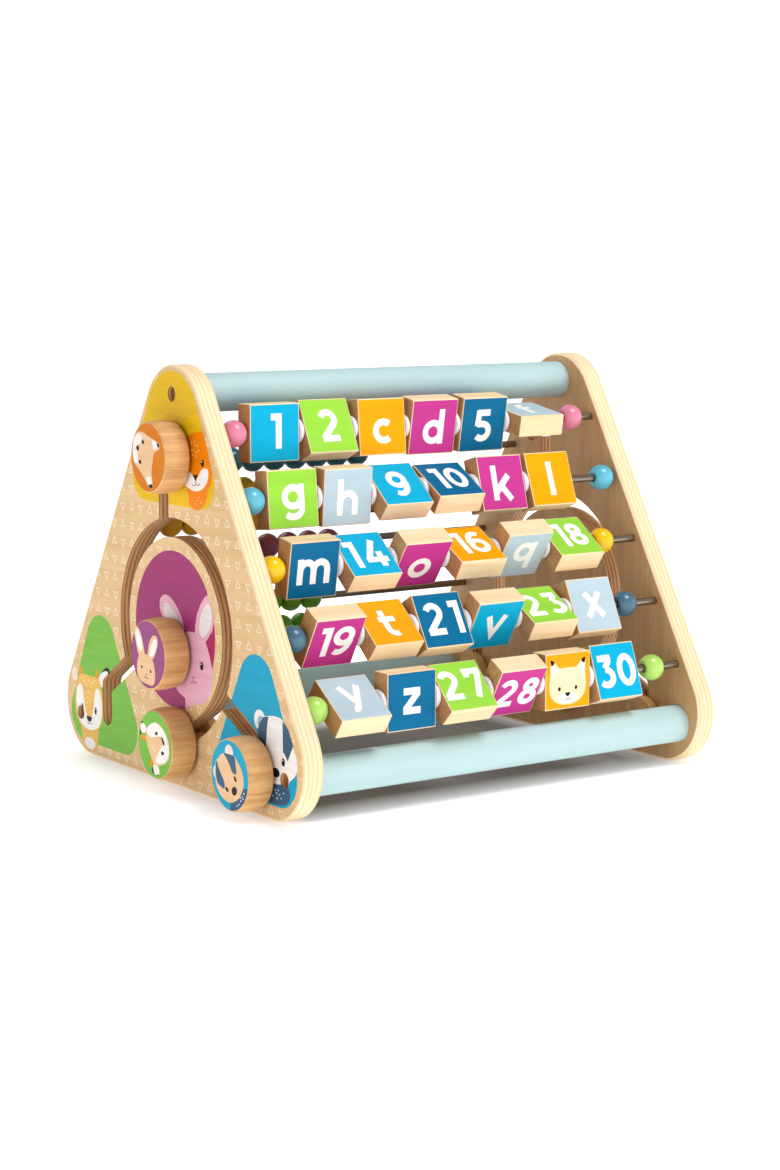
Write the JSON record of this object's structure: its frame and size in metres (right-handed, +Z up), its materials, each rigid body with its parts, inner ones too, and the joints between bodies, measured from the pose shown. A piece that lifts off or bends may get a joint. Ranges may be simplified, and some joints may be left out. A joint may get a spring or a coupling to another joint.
{
  "type": "wooden activity toy",
  "caption": "Triangular wooden activity toy: maze end panels with captive animal knobs, rods of turning number and letter blocks, and a bead abacus on the back.",
  "frame": {"origin": "centre of the footprint, on the floor plane under both end panels", "axes": "+X along the rails from the left end panel to the right one, +Y from the block side to the abacus side, +Z up"},
  "size_m": [0.337, 0.283, 0.25],
  "materials": {
    "panel_plywood": "satin",
    "turned_wood": "satin",
    "rail_paint": "satin paint",
    "steel": "satin",
    "block_cyan": "satin paint on two faces, bare wood edges",
    "block_green": "satin paint on two faces, bare wood edges",
    "block_orange": "satin paint on two faces, bare wood edges",
    "block_magenta": "satin paint on two faces, bare wood edges",
    "block_navy": "satin paint on two faces, bare wood edges",
    "block_pale": "satin paint on two faces, bare wood edges",
    "row_bead_1": "gloss paint, pink",
    "row_bead_2": "gloss paint, sky blue",
    "row_bead_3": "gloss paint, yellow",
    "row_bead_4": "gloss paint, slate",
    "row_bead_5": "gloss paint, lime",
    "abacus_teal": "gloss paint",
    "abacus_amber": "gloss paint",
    "abacus_plum": "gloss paint",
    "abacus_leaf": "gloss paint"
  },
  "bodies": {
    "frame": {"left_panel": "panel_plywood", "right_panel": "panel_plywood", "top_rail": "rail_paint", "bottom_rails": "rail_paint", "steel_rods_and_screws": "steel"},
    "left_lion_knob": {"left_lion_knob": "turned_wood"},
    "left_rabbit_knob": {"left_rabbit_knob": "turned_wood"},
    "left_deer_knob": {"left_deer_knob": "turned_wood"},
    "left_badger_knob": {"left_badger_knob": "turned_wood"},
    "right_lion_knob": {"right_lion_knob": "turned_wood"},
    "right_rabbit_knob": {"right_rabbit_knob": "turned_wood"},
    "right_deer_knob": {"right_deer_knob": "turned_wood"},
    "right_badger_knob": {"right_badger_knob": "turned_wood"},
    "row_1_train": {"row_1_beads": "row_bead_1"},
    "row_2_train": {"row_2_beads": "row_bead_2"},
    "row_3_train": {"row_3_beads": "row_bead_3"},
    "row_4_train": {"row_4_beads": "row_bead_4"},
    "row_5_train": {"row_5_beads": "row_bead_5"},
    "row_1_end_bead": {"row_1_end_bead": "row_bead_1"},
    "row_2_end_bead": {"row_2_end_bead": "row_bead_2"},
    "row_3_end_bead": {"row_3_end_bead": "row_bead_3"},
    "row_4_end_bead": {"row_4_end_bead": "row_bead_4"},
    "row_5_end_bead": {"row_5_end_bead": "row_bead_5"},
    "abacus_row_1": {"abacus_row_1": "abacus_teal"},
    "abacus_row_2": {"abacus_row_2": "abacus_amber"},
    "abacus_row_3": {"abacus_row_3": "abacus_amber"},
    "abacus_row_4": {"abacus_row_4": "abacus_plum"},
    "abacus_row_5": {"abacus_row_5": "abacus_plum"},
    "abacus_row_6": {"abacus_row_6": "abacus_leaf"},
    "abacus_row_7": {"abacus_row_7": "abacus_leaf"},
    "block_01": {"block_01": "block_cyan"},
    "block_02": {"block_02": "block_green"},
    "block_03": {"block_03": "block_orange"},
    "block_04": {"block_04": "block_magenta"},
    "block_05": {"block_05": "block_navy"},
    "block_06": {"block_06": "block_pale"},
    "block_07": {"block_07": "block_green"},
    "block_08": {"block_08": "block_pale"},
    "block_09": {"block_09": "block_cyan"},
    "block_10": {"block_10": "block_navy"},
    "block_11": {"block_11": "block_magenta"},
    "block_12": {"block_12": "block_orange"},
    "block_13": {"block_13": "block_navy"},
    "block_14": {"block_14": "block_cyan"},
    "block_15": {"block_15": "block_magenta"},
    "block_16": {"block_16": "block_orange"},
    "block_17": {"block_17": "block_pale"},
    "block_18": {"block_18": "block_green"},
    "block_19": {"block_19": "block_magenta"},
    "block_20": {"block_20": "block_orange"},
    "block_21": {"block_21": "block_navy"},
    "block_22": {"block_22": "block_cyan"},
    "block_23": {"block_23": "block_green"},
    "block_24": {"block_24": "block_pale"},
    "block_25": {"block_25": "block_pale"},
    "block_26": {"block_26": "block_navy"},
    "block_27": {"block_27": "block_green"},
    "block_28": {"block_28": "block_magenta"},
    "block_29": {"block_29": "block_orange"},
    "block_30": {"block_30": "block_cyan"}
  },
  "joints": [
    {"name": "left_lion_knob_slide", "type": "slide", "parent": "frame", "child": "left_lion_knob", "axis": [0, 0.9285, 0.3714], "range_m": [0, 0.0161]},
    {"name": "left_rabbit_knob_slide", "type": "slide", "parent": "frame", "child": "left_rabbit_knob", "axis": [0, 0.8437, 0.5369], "range_m": [0, 0.013]},
    {"name": "left_deer_knob_slide", "type": "slide", "parent": "frame", "child": "left_deer_knob", "axis": [0, -0.866, 0.5], "range_m": [0, 0.0259]},
    {"name": "left_badger_knob_slide", "type": "slide", "parent": "frame", "child": "left_badger_knob", "axis": [0, 0.2609, 0.9654], "range_m": [0, 0.0191]},
    {"name": "right_lion_knob_slide", "type": "slide", "parent": "frame", "child": "right_lion_knob", "axis": [0, -0.866, 0.5], "range_m": [0, 0.0259]},
    {"name": "right_rabbit_knob_slide", "type": "slide", "parent": "frame", "child": "right_rabbit_knob", "axis": [0, 0.8437, 0.5369], "range_m": [0, 0.013]},
    {"name": "right_deer_knob_slide", "type": "slide", "parent": "frame", "child": "right_deer_knob", "axis": [0, 0, 1], "range_m": [0, 0.019]},
    {"name": "right_badger_knob_slide", "type": "slide", "parent": "frame", "child": "right_badger_knob", "axis": [0, 0.2609, 0.9654], "range_m": [0, 0.0191]},
    {"name": "row_1_slide", "type": "slide", "parent": "frame", "child": "row_1_train", "axis": [1, 0, 0], "range_m": [-0.0015, 0.0114]},
    {"name": "row_2_slide", "type": "slide", "parent": "frame", "child": "row_2_train", "axis": [1, 0, 0], "range_m": [0, 0.0214]},
    {"name": "row_3_slide", "type": "slide", "parent": "frame", "child": "row_3_train", "axis": [1, 0, 0], "range_m": [0, 0.0039]},
    {"name": "row_4_slide", "type": "slide", "parent": "frame", "child": "row_4_train", "axis": [1, 0, 0], "range_m": [0, 0.0049]},
    {"name": "row_5_slide", "type": "slide", "parent": "frame", "child": "row_5_train", "axis": [1, 0, 0], "range_m": [0, 0.0089]},
    {"name": "row_1_end_bead_slide", "type": "slide", "parent": "frame", "child": "row_1_end_bead", "axis": [1, 0, 0], "range_m": [0, 0.0099]},
    {"name": "row_2_end_bead_slide", "type": "slide", "parent": "frame", "child": "row_2_end_bead", "axis": [1, 0, 0], "range_m": [0, 0.0014]},
    {"name": "row_3_end_bead_slide", "type": "slide", "parent": "frame", "child": "row_3_end_bead", "axis": [1, 0, 0], "range_m": [0, 0.0189]},
    {"name": "row_4_end_bead_slide", "type": "slide", "parent": "frame", "child": "row_4_end_bead", "axis": [1, 0, 0], "range_m": [0, 0.018]},
    {"name": "row_5_end_bead_slide", "type": "slide", "parent": "frame", "child": "row_5_end_bead", "axis": [1, 0, 0], "range_m": [0, 0.0139]},
    {"name": "abacus_row_1_slide", "type": "slide", "parent": "frame", "child": "abacus_row_1", "axis": [1, 0, 0], "range_m": [0, 0.119]},
    {"name": "abacus_row_2_slide", "type": "slide", "parent": "frame", "child": "abacus_row_2", "axis": [1, 0, 0], "range_m": [0, 0.119]},
    {"name": "abacus_row_3_slide", "type": "slide", "parent": "frame", "child": "abacus_row_3", "axis": [1, 0, 0], "range_m": [0, 0.119]},
    {"name": "abacus_row_4_slide", "type": "slide", "parent": "frame", "child": "abacus_row_4", "axis": [1, 0, 0], "range_m": [0, 0.119]},
    {"name": "abacus_row_5_slide", "type": "slide", "parent": "frame", "child": "abacus_row_5", "axis": [1, 0, 0], "range_m": [0, 0.119]},
    {"name": "abacus_row_6_slide", "type": "slide", "parent": "frame", "child": "abacus_row_6", "axis": [1, 0, 0], "range_m": [0, 0.119]},
    {"name": "abacus_row_7_slide", "type": "slide", "parent": "frame", "child": "abacus_row_7", "axis": [1, 0, 0], "range_m": [0, 0.119]},
    {"name": "block_01_spin", "type": "hinge", "parent": "row_1_train", "child": "block_01", "pos_m": [-0.1044, -0.0335, 0.2108], "axis": [1, 0, 0], "continuous": true},
    {"name": "block_02_spin", "type": "hinge", "parent": "row_1_train", "child": "block_02", "pos_m": [-0.0666, -0.0335, 0.2108], "axis": [1, 0, 0], "continuous": true},
    {"name": "block_03_spin", "type": "hinge", "parent": "row_1_train", "child": "block_03", "pos_m": [-0.0288, -0.0335, 0.2108], "axis": [1, 0, 0], "continuous": true},
    {"name": "block_04_spin", "type": "hinge", "parent": "row_1_train", "child": "block_04", "pos_m": [0.009, -0.0335, 0.2108], "axis": [1, 0, 0], "continuous": true},
    {"name": "block_05_spin", "type": "hinge", "parent": "row_1_train", "child": "block_05", "pos_m": [0.0468, -0.0335, 0.2108], "axis": [1, 0, 0], "continuous": true},
    {"name": "block_06_spin", "type": "hinge", "parent": "row_1_train", "child": "block_06", "pos_m": [0.0846, -0.0335, 0.2108], "axis": [1, 0, 0], "continuous": true},
    {"name": "block_07_spin", "type": "hinge", "parent": "row_2_train", "child": "block_07", "pos_m": [-0.1059, -0.0552, 0.1737], "axis": [1, 0, 0], "continuous": true},
    {"name": "block_08_spin", "type": "hinge", "parent": "row_2_train", "child": "block_08", "pos_m": [-0.0681, -0.0552, 0.1737], "axis": [1, 0, 0], "continuous": true},
    {"name": "block_09_spin", "type": "hinge", "parent": "row_2_train", "child": "block_09", "pos_m": [-0.0303, -0.0552, 0.1737], "axis": [1, 0, 0], "continuous": true},
    {"name": "block_10_spin", "type": "hinge", "parent": "row_2_train", "child": "block_10", "pos_m": [0.0075, -0.0552, 0.1737], "axis": [1, 0, 0], "continuous": true},
    {"name": "block_11_spin", "type": "hinge", "parent": "row_2_train", "child": "block_11", "pos_m": [0.0453, -0.0552, 0.1737], "axis": [1, 0, 0], "continuous": true},
    {"name": "block_12_spin", "type": "hinge", "parent": "row_2_train", "child": "block_12", "pos_m": [0.0831, -0.0552, 0.1737], "axis": [1, 0, 0], "continuous": true},
    {"name": "block_13_spin", "type": "hinge", "parent": "row_3_train", "child": "block_13", "pos_m": [-0.1059, -0.0769, 0.1366], "axis": [1, 0, 0], "continuous": true},
    {"name": "block_14_spin", "type": "hinge", "parent": "row_3_train", "child": "block_14", "pos_m": [-0.0681, -0.0769, 0.1366], "axis": [1, 0, 0], "continuous": true},
    {"name": "block_15_spin", "type": "hinge", "parent": "row_3_train", "child": "block_15", "pos_m": [-0.0303, -0.0769, 0.1366], "axis": [1, 0, 0], "continuous": true},
    {"name": "block_16_spin", "type": "hinge", "parent": "row_3_train", "child": "block_16", "pos_m": [0.0075, -0.0769, 0.1366], "axis": [1, 0, 0], "continuous": true},
    {"name": "block_17_spin", "type": "hinge", "parent": "row_3_train", "child": "block_17", "pos_m": [0.0453, -0.0769, 0.1366], "axis": [1, 0, 0], "continuous": true},
    {"name": "block_18_spin", "type": "hinge", "parent": "row_3_train", "child": "block_18", "pos_m": [0.0831, -0.0769, 0.1366], "axis": [1, 0, 0], "continuous": true},
    {"name": "block_19_spin", "type": "hinge", "parent": "row_4_train", "child": "block_19", "pos_m": [-0.1059, -0.0986, 0.0995], "axis": [1, 0, 0], "continuous": true},
    {"name": "block_20_spin", "type": "hinge", "parent": "row_4_train", "child": "block_20", "pos_m": [-0.0681, -0.0986, 0.0995], "axis": [1, 0, 0], "continuous": true},
    {"name": "block_21_spin", "type": "hinge", "parent": "row_4_train", "child": "block_21", "pos_m": [-0.0303, -0.0986, 0.0995], "axis": [1, 0, 0], "continuous": true},
    {"name": "block_22_spin", "type": "hinge", "parent": "row_4_train", "child": "block_22", "pos_m": [0.0075, -0.0986, 0.0995], "axis": [1, 0, 0], "continuous": true},
    {"name": "block_23_spin", "type": "hinge", "parent": "row_4_train", "child": "block_23", "pos_m": [0.0453, -0.0986, 0.0995], "axis": [1, 0, 0], "continuous": true},
    {"name": "block_24_spin", "type": "hinge", "parent": "row_4_train", "child": "block_24", "pos_m": [0.0831, -0.0986, 0.0995], "axis": [1, 0, 0], "continuous": true},
    {"name": "block_25_spin", "type": "hinge", "parent": "row_5_train", "child": "block_25", "pos_m": [-0.1059, -0.1203, 0.0624], "axis": [1, 0, 0], "continuous": true},
    {"name": "block_26_spin", "type": "hinge", "parent": "row_5_train", "child": "block_26", "pos_m": [-0.0681, -0.1203, 0.0624], "axis": [1, 0, 0], "continuous": true},
    {"name": "block_27_spin", "type": "hinge", "parent": "row_5_train", "child": "block_27", "pos_m": [-0.0303, -0.1203, 0.0624], "axis": [1, 0, 0], "continuous": true},
    {"name": "block_28_spin", "type": "hinge", "parent": "row_5_train", "child": "block_28", "pos_m": [0.0075, -0.1203, 0.0624], "axis": [1, 0, 0], "continuous": true},
    {"name": "block_29_spin", "type": "hinge", "parent": "row_5_train", "child": "block_29", "pos_m": [0.0453, -0.1203, 0.0624], "axis": [1, 0, 0], "continuous": true},
    {"name": "block_30_spin", "type": "hinge", "parent": "row_5_train", "child": "block_30", "pos_m": [0.0831, -0.1203, 0.0624], "axis": [1, 0, 0], "continuous": true}
  ]
}
